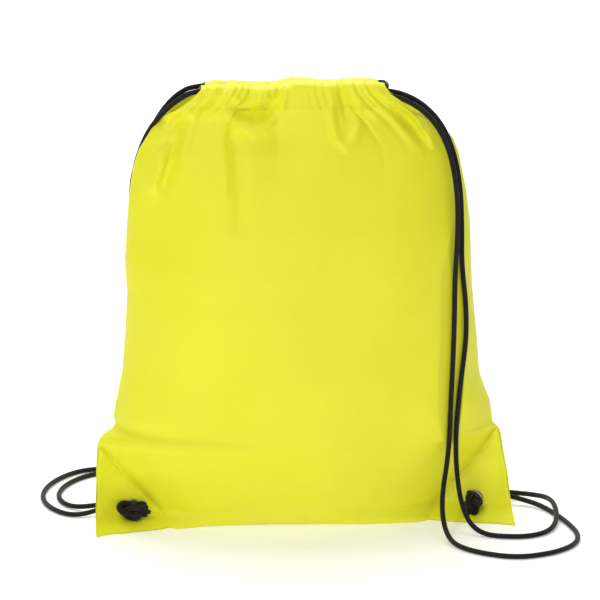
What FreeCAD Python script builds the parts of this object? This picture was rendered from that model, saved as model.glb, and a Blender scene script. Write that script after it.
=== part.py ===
"""Drawstring backpack (cinch bag): two sewn panels, a gathered hem tunnel, two cords.

Frame: millimetres, +Z up, front panel towards -Y, wearer's side towards +Y.
The origin is on the floor under the bag, in the middle of its width.
"""
import FreeCAD, Part
import Sketcher
import math
import os

Vector = FreeCAD.Vector

DIMENSIONS = {
    # side profile of the stuffed bag: height, left and right edge, bulge of one panel
    "base_height": 0.0, "base_left": 177.5, "base_right": 177.5, "base_depth": 24.0,
    "foot_height": 22.0, "foot_left": 176.0, "foot_right": 174.5, "foot_depth": 52.0,
    "flap_height": 76.0, "flap_left": 172.0, "flap_right": 167.0, "flap_depth": 67.0,
    "hip_height": 92.0, "hip_left": 160.0, "hip_right": 160.0, "hip_depth": 68.5,
    "waist_height": 137.0, "waist_left": 155.0, "waist_right": 150.0, "waist_depth": 70.0,
    "belly_height": 190.0, "belly_left": 151.0, "belly_right": 146.0, "belly_depth": 68.0,
    "chest_height": 259.0, "chest_left": 150.0, "chest_right": 144.0, "chest_depth": 58.0,
    "shoulder_height": 330.0, "shoulder_left": 132.0, "shoulder_right": 125.0,
    "shoulder_depth": 34.0,
    "collar_height": 360.0, "collar_left": 104.0, "collar_right": 84.0, "collar_depth": 10.3,
    # fabric
    "fabric": 1.2, "panel_gap": 0.2, "seam_allowance": 4.0,
    # corner flaps: fold line from the floor to the side edge, and the fold about it
    "flap_root": 100.0, "flap_root_top": 157.0, "flap_fold": 18.0,
    # sewn corner patches
    "patch": 1.0, "patch_inset": 1.5, "patch_lift": 0.1,
    # eyelets in the corners
    "eyelet_across": 148.0, "eyelet_up": 14.0, "eyelet_bore": 4.1, "eyelet_barrel": 0.6,
    "eyelet_flange": 7.5, "flange_thickness": 1.3, "eyelet_clearance": 0.2,
    "flange_lift": 0.1, "barrel_reach": 1.17, "washer_thickness": 0.91,
    # cords and knots
    "cord": 4.5, "knot_radius": 7.6, "knot_rounding": 0.9, "knot_gap": 0.3, "knot_neck": 3.7,
    "knot_collar": 5.3, "knot_collar_length": 2.6,
    "left_knot_length": 29.0, "right_knot_length": 23.0,
    # hem tunnel: fixed middle length, and sliding ends that sleeve over it
    "hem_top": 384.0, "tunnel_offset": 9.7, "channel_clearance": 0.7, "channel_floor": 361.8,
    "channel": "=cord + channel_clearance",
    "tunnel_wall": 0.8, "sleeve_wall": 1.0, "sleeve_clearance": 0.3,
    "mouth_left": -85.0, "mouth_right": 67.0, "sleeve_length": 38.0, "sleeve_overlap": 3.0,
    "middle_start": "=mouth_left + sleeve_length - sleeve_overlap",
    "middle_length": "=mouth_right - mouth_left - 2 * (sleeve_length - sleeve_overlap)",
    "right_cord_height": 370.8, "left_cord_height": 377.2,
    "turn_reach": 0.5, "strand_inside": 28.0,
}
STATIONS = ("base", "foot", "flap", "hip", "waist", "belly", "chest", "shoulder", "collar")

# Centre lines of the free strands, from inside the hem tunnel to the back of the eyelet.
STRANDS = {
    "right_front_strand": [
        (39.0, -9.7, 370.8), (72.0, -9.7, 370.8), (95.0, -14.0, 361.0), (112.0, -17.0, 344.0),
        (122.5, -20.0, 320.0), (128.0, -22.5, 288.0), (128.5, -24.0, 252.0), (126.0, -26.0, 215.0),
        (125.5, -30.0, 179.0), (124.0, -33.0, 140.0), (122.0, -37.0, 106.0), (121.0, -39.5, 78.0),
        (118.5, -42.0, 55.0), (114.0, -50.0, 34.0), (112.5, -62.0, 17.0), (114.5, -80.0, 5.5),
        (120.0, -100.0, 2.4), (137.0, -121.0, 2.4), (166.0, -136.5, 2.4), (198.0, -127.0, 2.4),
        (220.0, -106.0, 2.4), (227.0, -78.0, 2.4), (222.0, -45.0, 2.4), (213.5, -15.0, 2.4),
        (204.0, 4.0, 3.4), (192.0, 14.0, 5.2), (177.0, 18.0, 8.5), (162.4, 17.0, 10.8),
        (154.1, 9.2, 11.2), (150.9, -3.4, 13.7),
    ],
    "right_back_strand": [
        (39.0, 9.7, 370.8), (72.0, 9.7, 370.8), (97.0, 3.0, 362.5), (115.0, -6.5, 346.0),
        (126.0, -12.5, 321.0), (131.5, -15.5, 290.0), (132.5, -18.0, 256.0), (132.5, -19.0, 224.0),
        (136.5, -20.0, 190.0), (136.5, -23.0, 159.0), (131.5, -28.0, 125.0), (127.5, -34.0, 91.0),
        (126.5, -37.5, 65.0), (127.5, -42.0, 44.0), (130.0, -50.0, 24.0), (136.0, -61.0, 8.5),
        (147.0, -71.5, 2.4), (164.0, -79.0, 2.4), (186.0, -80.0, 2.4), (204.0, -67.0, 2.6),
        (213.0, -44.0, 4.5), (215.5, -16.0, 9.0), (212.5, 9.0, 8.4), (201.0, 26.0, 6.0),
        (183.0, 32.5, 6.2), (166.0, 30.0, 9.5), (153.4, 21.0, 10.4), (149.5, 10.4, 11.1),
        (146.2, -2.2, 13.6),
    ],
    "left_front_strand": [
        (-57.0, -9.7, 377.2), (-90.0, -9.7, 377.2), (-106.0, -10.5, 369.0), (-119.5, -4.0, 355.0),
        (-130.5, 5.0, 338.0), (-139.0, 14.0, 313.0), (-143.5, 26.0, 284.0), (-142.0, 38.0, 245.0),
        (-138.0, 47.0, 203.0), (-137.5, 54.0, 158.0), (-140.0, 64.0, 114.0), (-143.0, 80.0, 74.0),
        (-146.0, 102.0, 38.0), (-150.5, 127.0, 13.0), (-163.0, 146.0, 2.4), (-184.0, 142.0, 2.4),
        (-203.0, 122.0, 2.4), (-216.0, 95.0, 2.4), (-221.0, 66.0, 2.4), (-216.0, 37.0, 2.4),
        (-202.0, 15.0, 2.4), (-188.0, 12.0, 2.8), (-174.0, 16.5, 5.6), (-163.0, 17.0, 8.4),
        (-154.3, 10.0, 11.0), (-150.9, -3.4, 13.7),
    ],
    "left_back_strand": [
        (-57.0, 9.7, 377.2), (-90.0, 9.7, 377.2), (-105.5, 12.0, 368.5), (-117.5, 15.5, 354.0),
        (-127.0, 20.5, 336.0), (-132.5, 27.0, 312.0), (-132.5, 35.5, 283.0), (-128.5, 43.0, 244.0),
        (-125.5, 48.0, 200.0), (-126.0, 52.5, 156.0), (-129.0, 60.0, 112.0), (-134.0, 73.0, 72.0),
        (-137.5, 91.0, 38.0), (-142.0, 113.0, 13.0), (-153.5, 131.0, 2.4), (-170.0, 132.5, 2.4),
        (-187.0, 118.5, 2.4), (-200.5, 97.0, 2.4), (-207.0, 72.0, 2.4), (-204.0, 48.0, 2.4),
        (-193.0, 32.0, 3.2), (-176.0, 28.5, 5.5), (-161.5, 29.0, 8.5), (-152.0, 21.5, 10.4),
        (-149.5, 10.4, 11.1), (-146.2, -2.2, 13.6),
    ],
}


def make_sheet(doc):
    """The spreadsheet of driving dimensions, one alias for each."""
    sheet = doc.addObject("Spreadsheet::Sheet", "size")
    for row, (alias, value) in enumerate(DIMENSIONS.items(), start=1):
        sheet.set(f"A{row}", alias)
        sheet.set(f"B{row}", str(value))
        sheet.setAlias(f"B{row}", alias)
    doc.recompute()
    return sheet


def origin_plane(body, role):
    """One of a body's own origin planes."""
    return next(plane for plane in body.Origin.OriginFeatures if plane.Role == role)


def new_sketch(body, name, role, height="0"):
    """A sketch on a body's own origin plane, raised along the plane's normal."""
    sketch = body.newObject("Sketcher::SketchObject", name)
    sketch.AttachmentSupport = [(origin_plane(body, role), "")]
    sketch.MapMode = "FlatFace"
    sketch.setExpression("AttachmentOffset.Base.z", height)
    return sketch


def pin_point(sketch, edge, end, across, along):
    """Fixes one end of an edge by two expressions, measured from the sketch's origin."""
    for kind, expression in (("DistanceX", across), ("DistanceY", along)):
        value = float(sketch.evalExpression(expression))
        index = sketch.addConstraint(Sketcher.Constraint(kind, -1, 1, edge, end, value))
        sketch.setExpression(f"Constraints[{index}]", expression)


def draw_outline(sketch, points, bulges=None):
    """A closed outline through points given as expressions.

    bulges maps an edge's number to (height, side): that edge is an arc that rises by the
    height expression above its chord, towards side (+1 or -1) along the sketch's second axis.
    """
    bulges = bulges or {}
    corners = [
        Vector(float(sketch.evalExpression(x)), float(sketch.evalExpression(y)), 0)
        for x, y in points
    ]
    for number, start in enumerate(corners):
        end = corners[(number + 1) % len(corners)]
        if number in bulges:
            rise, side = bulges[number]
            height = float(sketch.evalExpression(rise))
            top = (start + end) / 2 + Vector(0, side * height, 0)
            edge = sketch.addGeometry(Part.Arc(start, top, end))
            backwards = (end.x > start.x) == (side > 0)
            first = 2 if backwards else 1
            pin_point(sketch, edge, first, *points[number])
            pin_point(sketch, edge, 3 - first, *points[(number + 1) % len(points)])
            chord = "(" + points[number][0] + " - (" + points[(number + 1) % len(points)][0] + "))"
            radius = f"({chord} ^ 2 / 4 + ({rise}) ^ 2) / (2 * ({rise}))"
            value = float(sketch.evalExpression(radius))
            index = sketch.addConstraint(Sketcher.Constraint("Radius", edge, value))
            sketch.setExpression(f"Constraints[{index}]", radius)
        else:
            edge = sketch.addGeometry(Part.LineSegment(start, end))
            pin_point(sketch, edge, 1, *points[number])
            pin_point(sketch, edge, 2, *points[(number + 1) % len(points)])


def new_body(doc, name):
    """An empty PartDesign body whose label is its node's name."""
    body = doc.addObject("PartDesign::Body", name)
    body.Label = name
    return body


def fold_slope():
    """How far a folded corner flap comes forward for each millimetre of its width."""
    rise = "size.flap_height"
    run = "(size.flap_root_top - size.flap_root)"
    return f"(tan(size.flap_fold * 1 deg) * {rise} / sqrt({rise} ^ 2 + {run} ^ 2))"


def flap_root(station):
    """Where the bulge ends and the flat flap or seam allowance starts, per side."""
    if station in ("base", "foot", "flap"):
        run = "(size.flap_root_top - size.flap_root)"
        root = f"(size.flap_root + {run} * size.{station}_height / size.flap_height)"
        return root, root
    return tuple(f"(size.{station}_{side} - size.seam_allowance)" for side in ("left", "right"))


def panel_profile(sketch, station, side):
    """The wall of one panel at one height: flap, bulge, flap, one fabric thick."""
    left_root, right_root = flap_root(station)
    left = f"size.{station}_left"
    right = f"size.{station}_right"
    left_drop = f"(({left} - {left_root}) * {fold_slope()})"
    right_drop = f"(({right} - {right_root}) * {fold_slope()})"
    near = "size.panel_gap" if side > 0 else "(-size.panel_gap)"
    fabric = "size.fabric" if side > 0 else "(-size.fabric)"
    inner = [
        (f"-{left}", f"{near} - {left_drop}"),
        (f"-{left_root}", near),
        (right_root, near),
        (right, f"{near} - {right_drop}"),
    ]
    outer = [(x, f"{y} + {fabric}") for x, y in reversed(inner)]
    rise = f"size.{station}_depth - size.fabric - size.panel_gap"
    draw_outline(sketch, inner + outer, {1: (rise, side), 5: (rise, side)})


def make_panel(doc, name, side):
    """One panel of the bag: a bulged wall with flat corner flaps, closed at the floor."""
    body = new_body(doc, name + "_cloth")
    sketches = []
    for station in STATIONS:
        sketch = new_sketch(body, f"{name}_{station}", "XY_Plane", f"size.{station}_height")
        panel_profile(sketch, station, side)
        sketches.append(sketch)
    doc.recompute()
    wall = body.newObject("PartDesign::AdditiveLoft", name + "_wall")
    wall.Profile = sketches[0]
    wall.Sections = sketches[1:]
    wall.Ruled = True
    base = new_sketch(body, name + "_base_outline", "XY_Plane")
    near = "size.panel_gap" if side > 0 else "(-size.panel_gap)"
    points = [("-size.flap_root", near), ("size.flap_root", near)]
    rise = "size.base_depth - size.panel_gap - size.fabric / 2"
    draw_outline(base, points, {0: (rise, side)})
    doc.recompute()
    floor = body.newObject("PartDesign::Pad", name + "_floor")
    floor.Profile = base
    floor.setExpression("Length", "size.fabric")
    return body


def flap_placement(side, shift="0"):
    """Expression that folds a flat corner piece forward about its flap's fold line."""
    turn = "-size.flap_fold" if side > 0 else "size.flap_fold"
    run = "(size.flap_root_top - size.flap_root)"
    sign = "1" if side > 0 else "-1"
    axis = f"vector({sign} * {run}; 0; size.flap_height)"
    centre = f"vector({sign} * size.flap_root; 0; 0)"
    fold = f"placement(vector(0; 0; 0); rotation({axis}; {turn}); {centre})"
    return f"{fold} * placement({shift}; rotation(vector(0; 1; 0); 0))"


def eyelet_place(side):
    """Where the eyelet's centre sits on its flap, folded with it."""
    sign = "1" if side > 0 else "-1"
    return flap_placement(side, f"vector({sign} * size.eyelet_across; 0; size.eyelet_up)")


def make_hole_tool(doc, name, side, radius):
    """The punch for an eyelet's hole through every layer of one corner."""
    tool = doc.addObject("Part::Feature", name)
    reach = 12.0
    tool.Shape = Part.makeCylinder(radius, 2 * reach, Vector(0, -reach, 0), Vector(0, 1, 0))
    tool.setExpression("Placement", eyelet_place(side))
    return tool


def make_ring(doc, name, side, points):
    """A ring turned about the eyelet's axis from an outline of (radius, along) expressions."""
    body = new_body(doc, name)
    sketch = new_sketch(body, name + "_profile", "XY_Plane")
    draw_outline(sketch, points)
    doc.recompute()
    turned = body.newObject("PartDesign::Revolution", name + "_turned")
    turned.Profile = sketch
    turned.ReferenceAxis = (sketch, ["V_Axis"])
    turned.Angle = 360
    body.setExpression("Placement", eyelet_place(side))
    return body


STACK = "(size.panel_gap + size.fabric + size.patch_lift + size.patch)"


def make_eyelet(doc, name, side):
    """Flanged barrel through the corner's layers, flange on the front."""
    outer = "size.eyelet_bore + size.eyelet_barrel"
    back = f"{STACK} + size.barrel_reach"
    front = f"-{STACK} - size.flange_lift"
    face = f"{front} - size.flange_thickness"
    points = [
        ("size.eyelet_bore", face), ("size.eyelet_flange", face),
        ("size.eyelet_flange", front), (outer, front), (outer, back), ("size.eyelet_bore", back),
    ]
    return make_ring(doc, name, side, points)


def make_washer(doc, name, side):
    """Ring on the back of the corner, around the barrel."""
    inner = "size.eyelet_bore + size.eyelet_barrel + size.eyelet_clearance"
    front = f"{STACK} + size.flange_lift"
    back = f"{front} + size.washer_thickness"
    points = [
        (inner, front), ("size.eyelet_flange", front), ("size.eyelet_flange", back), (inner, back),
    ]
    return make_ring(doc, name, side, points)


def make_patch(doc, name, side, face, tool):
    """Triangular doubler on a flap; face is -1 for the front of the bag, +1 for the back."""
    body = new_body(doc, name + "_cloth")
    sketch = new_sketch(body, name + "_outline", "XZ_Plane", "0")
    edge = "size.flap_right" if side > 0 else "size.flap_left"
    foot = "size.base_right" if side > 0 else "size.base_left"
    sign = "" if side > 0 else "-"
    inset = "size.patch_inset"
    points = [
        (f"{sign}(size.flap_root + 2 * {inset})", inset),
        (f"{sign}({foot} - {inset})", inset),
        (f"{sign}({edge} - {inset})", f"size.flap_height - {inset}"),
        (f"{sign}(size.flap_root_top + {inset})", f"size.flap_height - 2 * {inset}"),
    ]
    draw_outline(sketch, points)
    doc.recompute()
    pad = body.newObject("PartDesign::Pad", name + "_pad")
    pad.Profile = sketch
    pad.setExpression("Length", "size.patch")
    body.Tip = pad
    lift = "(size.panel_gap + size.fabric + size.patch_lift)"
    along = f"-{lift}" if face < 0 else f"({lift} + size.patch)"
    body.setExpression("Placement", flap_placement(side, f"vector(0; {along}; 0)"))
    punched = doc.addObject("Part::Cut", name)
    punched.Label = name
    punched.Base = body
    punched.Tool = tool
    return punched


def make_knot(doc, name, side, length, upright):
    """The knot on the front, its neck through the eyelet and its collar behind."""
    bulb = doc.addObject("Part::Cylinder", name + "_bulb")
    bulb.setExpression("Radius", "size.knot_radius")
    bulb.setExpression("Height", length)
    front_face = f"({STACK} + size.flange_lift + size.flange_thickness)"
    bulb_centre = f"(-({front_face} + size.knot_gap + size.knot_radius))"
    if upright:
        bulb.setExpression("Placement.Base.y", bulb_centre)
        bulb.setExpression("Placement.Base.z", f"-{length} / 2")
    else:
        turn = "rotation(vector(0; 1; 0); 90)"
        place = f"placement(vector(-{length} / 2; {bulb_centre}; 0); {turn})"
        bulb.setExpression("Placement", place)
    rounded = doc.addObject("Part::Fillet", name + "_rounded")
    rounded.Base = bulb
    doc.recompute()
    rounding = float(bulb.evalExpression("size.knot_radius * size.knot_rounding"))
    rims = [
        number for number, edge in enumerate(bulb.Shape.Edges, start=1)
        if edge.Curve.TypeId == "Part::GeomCircle"
    ]
    rounded.Edges = [(number, rounding, rounding) for number in rims]
    collar_front = f"({STACK} + size.flange_thickness + size.knot_gap)"
    parts = [rounded]
    lengths = {
        "neck": ("size.knot_neck", bulb_centre, f"{collar_front} - {bulb_centre}"),
        "collar": ("size.knot_collar", collar_front, "size.knot_collar_length"),
    }
    for piece, (radius, start, reach) in lengths.items():
        rod = doc.addObject("Part::Cylinder", f"{name}_{piece}")
        rod.setExpression("Radius", radius)
        rod.setExpression("Height", reach)
        turn = "rotation(vector(1; 0; 0); -90)"
        rod.setExpression("Placement", f"placement(vector(0; {start}; 0); {turn})")
        parts.append(rod)
    knot = doc.addObject("Part::MultiFuse", name)
    knot.Label = name
    knot.Shapes = parts
    knot.setExpression("Placement", eyelet_place(side))
    return knot


def make_hem_middle(doc, name, side):
    """Fixed middle length of a hem tunnel: a closed tube of cloth above the panel's edge."""
    body = new_body(doc, name)
    sketch = new_sketch(body, name + "_section", "YZ_Plane")
    half = "(size.channel / 2 + size.tunnel_wall)"
    top = "(size.hem_top - size.sleeve_wall - size.sleeve_clearance)"
    centre = "size.tunnel_offset" if side > 0 else "(-size.tunnel_offset)"
    floor = "size.collar_height"
    draw_outline(sketch, [
        (f"{centre} - {half}", floor), (f"{centre} + {half}", floor),
        (f"{centre} + {half}", top), (f"{centre} - {half}", top),
    ])
    room = "size.channel / 2"
    ceiling = f"{top} - size.tunnel_wall"
    draw_outline(sketch, [
        (f"{centre} - {room}", "size.channel_floor"), (f"{centre} + {room}", "size.channel_floor"),
        (f"{centre} + {room}", ceiling), (f"{centre} - {room}", ceiling),
    ])
    doc.recompute()
    pad = body.newObject("PartDesign::Pad", name + "_tube")
    pad.Profile = sketch
    pad.setExpression("Length", "size.middle_length")
    body.setExpression("Placement.Base.x", "size.middle_start")
    return body


def make_hem_end(doc, name, side, start):
    """Sliding end of a hem tunnel: three walls that sleeve over the middle length."""
    body = new_body(doc, name)
    sketch = new_sketch(body, name + "_section", "YZ_Plane")
    room = "(size.channel / 2 + size.tunnel_wall + size.sleeve_clearance)"
    half = f"({room} + size.sleeve_wall)"
    centre = "size.tunnel_offset" if side > 0 else "(-size.tunnel_offset)"
    floor = "(size.collar_height + size.sleeve_clearance)"
    ceiling = "(size.hem_top - size.sleeve_wall)"
    draw_outline(sketch, [
        (f"{centre} - {half}", floor), (f"{centre} - {room}", floor),
        (f"{centre} - {room}", ceiling), (f"{centre} + {room}", ceiling),
        (f"{centre} + {room}", floor), (f"{centre} + {half}", floor),
        (f"{centre} + {half}", "size.hem_top"), (f"{centre} - {half}", "size.hem_top"),
    ])
    doc.recompute()
    pad = body.newObject("PartDesign::Pad", name + "_walls")
    pad.Profile = sketch
    pad.setExpression("Length", "size.sleeve_length")
    body.setExpression("Placement.Base.x", start)
    return body


def make_cord_loop(doc, name, side):
    """A cord's length inside both tunnels: two legs and the turn at the far mouth end.

    side is +1 for the cord that leaves on the right, so that it turns on the left.
    """
    body = new_body(doc, name)
    sign = "" if side > 0 else "-"
    height = "size.right_cord_height" if side > 0 else "size.left_cord_height"
    if side > 0:
        leave = "(size.mouth_right - size.strand_inside)"
        turn = "(size.mouth_left - size.turn_reach)"
    else:
        leave = "(size.mouth_left + size.strand_inside)"
        turn = "(size.mouth_right + size.turn_reach)"
    spine = new_sketch(body, name + "_path", "XY_Plane", height)
    offset = "size.tunnel_offset"
    numbers = {key: float(spine.evalExpression(key)) for key in (leave, turn, offset)}
    exit_x, turn_x, tunnel = numbers[leave], numbers[turn], numbers[offset]
    front = spine.addGeometry(Part.LineSegment(Vector(exit_x, -tunnel, 0), Vector(turn_x, -tunnel, 0)))
    far = Vector(turn_x - side * tunnel, 0, 0)
    bend = spine.addGeometry(Part.Arc(Vector(turn_x, -tunnel, 0), far, Vector(turn_x, tunnel, 0)))
    back = spine.addGeometry(Part.LineSegment(Vector(turn_x, tunnel, 0), Vector(exit_x, tunnel, 0)))
    pin_point(spine, front, 1, leave, f"-{offset}")
    pin_point(spine, front, 2, turn, f"-{offset}")
    pin_point(spine, back, 1, turn, offset)
    pin_point(spine, back, 2, leave, offset)
    pin_point(spine, bend, 3, turn, "0")
    section = new_sketch(body, name + "_section", "YZ_Plane", leave)
    radius = float(section.evalExpression("size.cord / 2"))
    circle = section.addGeometry(Part.Circle(Vector(-tunnel, 0, 0), Vector(0, 0, 1), radius))
    pin_point(section, circle, 3, f"-{offset}", height)
    index = section.addConstraint(Sketcher.Constraint("Radius", circle, radius))
    section.setExpression(f"Constraints[{index}]", "size.cord / 2")
    doc.recompute()
    pipe = body.newObject("PartDesign::AdditivePipe", name + "_tube")
    pipe.Profile = section
    pipe.Spine = (spine, ["Edge1", "Edge2", "Edge3"])
    return body


def route_wire(points, name):
    """Straight runs joined by tangent arcs, as large as their two runs allow."""
    corners = [Vector(*point) for point in points]
    edges = []
    radii = []
    start = corners[0]
    for before, corner, after in zip(corners, corners[1:], corners[2:]):
        back = before - corner
        ahead = after - corner
        half_turn = (math.pi - back.getAngle(ahead)) / 2
        reach = 0.45 * min(back.Length, ahead.Length)
        radii.append(reach / math.tan(half_turn))
        enter = corner + back.normalize() * reach
        leave = corner + ahead.normalize() * reach
        inward = (back + ahead).normalize()
        sagitta = radii[-1] / math.cos(half_turn) - radii[-1]
        edges.append(Part.LineSegment(start, enter).toShape())
        edges.append(Part.Arc(enter, corner + inward * sagitta, leave).toShape())
        start = leave
    edges.append(Part.LineSegment(start, corners[-1]).toShape())
    print(f"{name}: length {sum(edge.Length for edge in edges):.0f} mm, radii",
          " ".join(f"{radius:.0f}" for radius in radii))
    return Part.Wire(edges)


def make_strand(doc, sheet, name, points):
    """A free strand of cord: a round tube along its route."""
    wire = route_wire(points, name)
    start = Vector(*points[0])
    heading = Vector(*points[1]) - start
    radius = sheet.cord / 2
    ring = Part.Wire([Part.Circle(start, heading, radius).toShape()])
    strand = doc.addObject("Part::Feature", name)
    strand.Shape = wire.makePipeShell([ring], True, False)
    strand.Label = name
    expected = math.pi * radius ** 2 * wire.Length
    if abs(strand.Shape.Volume / expected - 1) > 0.01:
        raise RuntimeError(f"{name}: volume {strand.Shape.Volume:.0f}, expected {expected:.0f}")
    return strand


def build():
    """Every sub-part of the bag, in one document."""
    doc = FreeCAD.newDocument("drawstring_backpack")
    sheet = make_sheet(doc)
    nodes = []
    sides = {"left": -1, "right": 1}
    hole = sheet.eyelet_bore + sheet.eyelet_barrel + sheet.eyelet_clearance
    tools = {}
    for word, side in sides.items():
        tools[word] = make_hole_tool(doc, f"{word}_punch", side, hole)
    both = doc.addObject("Part::MultiFuse", "both_punches")
    both.Shapes = list(tools.values())
    for word, side in (("front", -1), ("back", 1)):
        panel = doc.addObject("Part::Cut", f"{word}_panel")
        panel.Label = f"{word}_panel"
        panel.Base = make_panel(doc, f"{word}_panel", side)
        panel.Tool = both
        nodes.append(panel)
        nodes.append(make_hem_middle(doc, f"{word}_hem_middle", side))
        nodes.append(make_hem_end(doc, f"{word}_hem_left", side, "size.mouth_left"))
        nodes.append(make_hem_end(doc, f"{word}_hem_right", side, "size.mouth_right - size.sleeve_length"))
        for edge, across in sides.items():
            nodes.append(make_patch(doc, f"{word}_{edge}_patch", across, side, tools[edge]))
    for word, side in sides.items():
        nodes.append(make_eyelet(doc, f"{word}_eyelet", side))
        nodes.append(make_washer(doc, f"{word}_eyelet_washer", side))
        nodes.append(make_cord_loop(doc, f"{word}_cord_loop", side))
    nodes.append(make_knot(doc, "left_knot", -1, "size.left_knot_length", False))
    nodes.append(make_knot(doc, "right_knot", 1, "size.right_knot_length", True))
    for name, points in STRANDS.items():
        nodes.append(make_strand(doc, sheet, name, points))
    doc.recompute()
    return doc, nodes


def check_and_export(doc, nodes):
    """Stops on any failed object, then writes one STEP file for each node."""
    for thing in doc.Objects:
        if "Invalid" in thing.State or "Error" in thing.State:
            raise RuntimeError(f"{thing.Name}: {thing.State}")
    for node in nodes:
        if node.Shape.isNull() or not node.Shape.isValid() or node.Shape.Volume <= 0:
            raise RuntimeError(f"{node.Label}: no valid solid")
    os.makedirs("parts", exist_ok=True)
    for node in nodes:
        node.Shape.exportStep(f"parts/{node.Label}.step")
        box = node.Shape.BoundBox
        print(f"{node.Label}: {len(node.Shape.Solids)} solid, {node.Shape.Volume:.0f} mm3, "
              f"x {box.XMin:.1f}..{box.XMax:.1f} y {box.YMin:.1f}..{box.YMax:.1f} "
              f"z {box.ZMin:.1f}..{box.ZMax:.1f}")


document, subparts = build()
check_and_export(document, subparts)
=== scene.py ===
"""Looks of the drawstring backpack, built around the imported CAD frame.

Tables are in millimetres and are scaled by MM; every Blender object is in metres.
"""

import math

import bpy
import numpy as np
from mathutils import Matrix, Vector


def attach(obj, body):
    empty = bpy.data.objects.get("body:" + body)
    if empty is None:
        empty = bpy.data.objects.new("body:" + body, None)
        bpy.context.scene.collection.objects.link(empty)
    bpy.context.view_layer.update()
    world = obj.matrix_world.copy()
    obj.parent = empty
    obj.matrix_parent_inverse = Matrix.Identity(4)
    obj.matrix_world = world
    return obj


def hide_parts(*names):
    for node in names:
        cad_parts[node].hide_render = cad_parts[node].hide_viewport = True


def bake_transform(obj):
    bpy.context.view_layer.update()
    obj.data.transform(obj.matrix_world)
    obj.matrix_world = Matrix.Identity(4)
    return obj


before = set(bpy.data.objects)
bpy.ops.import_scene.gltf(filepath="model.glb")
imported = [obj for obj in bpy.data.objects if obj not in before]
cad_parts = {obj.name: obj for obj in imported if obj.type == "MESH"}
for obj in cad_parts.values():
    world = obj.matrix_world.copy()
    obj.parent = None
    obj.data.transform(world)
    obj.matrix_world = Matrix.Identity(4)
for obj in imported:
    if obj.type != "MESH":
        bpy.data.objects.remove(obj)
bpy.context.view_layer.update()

MM = 0.001
FRONT, BACK = -1, 1
LEFT, RIGHT = -1, 1
SIDE_NAME = {LEFT: "left", RIGHT: "right"}
FACE_NAME = {FRONT: "front", BACK: "back"}

# ---------------------------------------------------------------- the bag's shape, in mm
# (height, distance of the side edge from the middle) of each side
EDGES = {
    LEFT: [
        (0, 178.8), (20, 178.6), (40, 177.8), (71, 175.4), (76.7, 172.8), (81.0, 168.0),
        (82.8, 161.8), (88, 160.0), (95, 161.2), (124, 155.4), (133, 153.4), (168, 150.5),
        (203, 148.8), (229, 150.4), (262, 148.2), (285, 146.5), (310, 142.6), (325, 137.8),
        (334, 132.4), (344, 126.0), (349, 121.4), (355, 115.8), (363, 104.0), (371, 93.0), (378, 86.2),
        (384, 84.8),
    ],
    RIGHT: [
        (0, 177.6), (16, 175.8), (45, 172.8), (73, 169.0), (77, 167.0), (81, 162.2),
        (91, 161.4), (101, 159.8), (109, 156.4), (124, 151.2), (137, 149.8), (152, 149.0),
        (170, 147.0), (201, 144.0), (227, 142.8), (257, 141.8), (285, 138.0), (317, 131.6),
        (331, 126.0), (346, 109.5), (355, 96.5), (363, 84.0), (371, 72.5), (378, 67.6),
        (384, 66.8),
    ],
}
# (height, how far one panel bulges from the middle plane)
BULGE = [
    (0, 19), (2, 23), (6, 28), (12, 33.5), (22, 42), (45, 55), (76, 65), (137, 69), (190, 68),
    (225, 64), (259, 57), (300, 45), (322, 36), (337, 27), (348, 22), (358, 18.2),
    (366, 16), (374, 14.2), (384, 13.2),
]
# (height, exponent of the cross-section: small is a full side, large a thin one)
FULLNESS = [
    (0, 0.9), (30, 1.3), (60, 1.5), (80, 1.45), (110, 1.3), (190, 1.25), (300, 1.3), (384, 1.5),
]
HEM_SEAM = 361.0
TUNNEL = 9.7
HEM_WALL = 13.2
HEM_INNER = 1.2
HEM_CAP = 4.0
# how far the hem may be pressed in before it would touch the cord inside
HEM_PRESS = 0.8
FOLD_DEPTH = 1.6
MOUTH_MIDDLE = -9.0
MOUTH_HALF = 76.0
MOUTH_END = {LEFT: -85.0, RIGHT: 67.0}
STRAND_HEIGHT = {LEFT: 377.2, RIGHT: 370.8}
# where the corner flaps start: distance from the middle on the floor, the same at the
# flap's top, and that top's height
FLAP_ROOTS = {LEFT: (114.0, 173.0, 70.0), RIGHT: (104.0, 166.0, 79.0)}
FLAP_CURLS = {LEFT: 0.026, RIGHT: 0.022}
LAYER = 0.7
# (place across, forward shift) of the cloth's foot where it spreads on the floor
FOOT_SPREAD = [
    (-178, -8), (-155, -20), (-121, -20), (-104, -17), (-87, -9), (-60, -3), (-30, 0),
    (10, -2), (31, -6), (48, -9), (82, -14), (99, -18), (116, -20), (150, -20), (167, -16),
    (178, -10),
]

# The folded corner's plane at the eyelets, as in the CAD part: centre and backward normal.
EYELET_CENTRE = {side: np.array((side * 146.83, -9.27, 14.88)) for side in (LEFT, RIGHT)}
EYELET_NORMAL = {side: np.array((side * 0.249, 0.949, -0.181)) for side in (LEFT, RIGHT)}
EYELET_HOLE = 4.6

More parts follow.
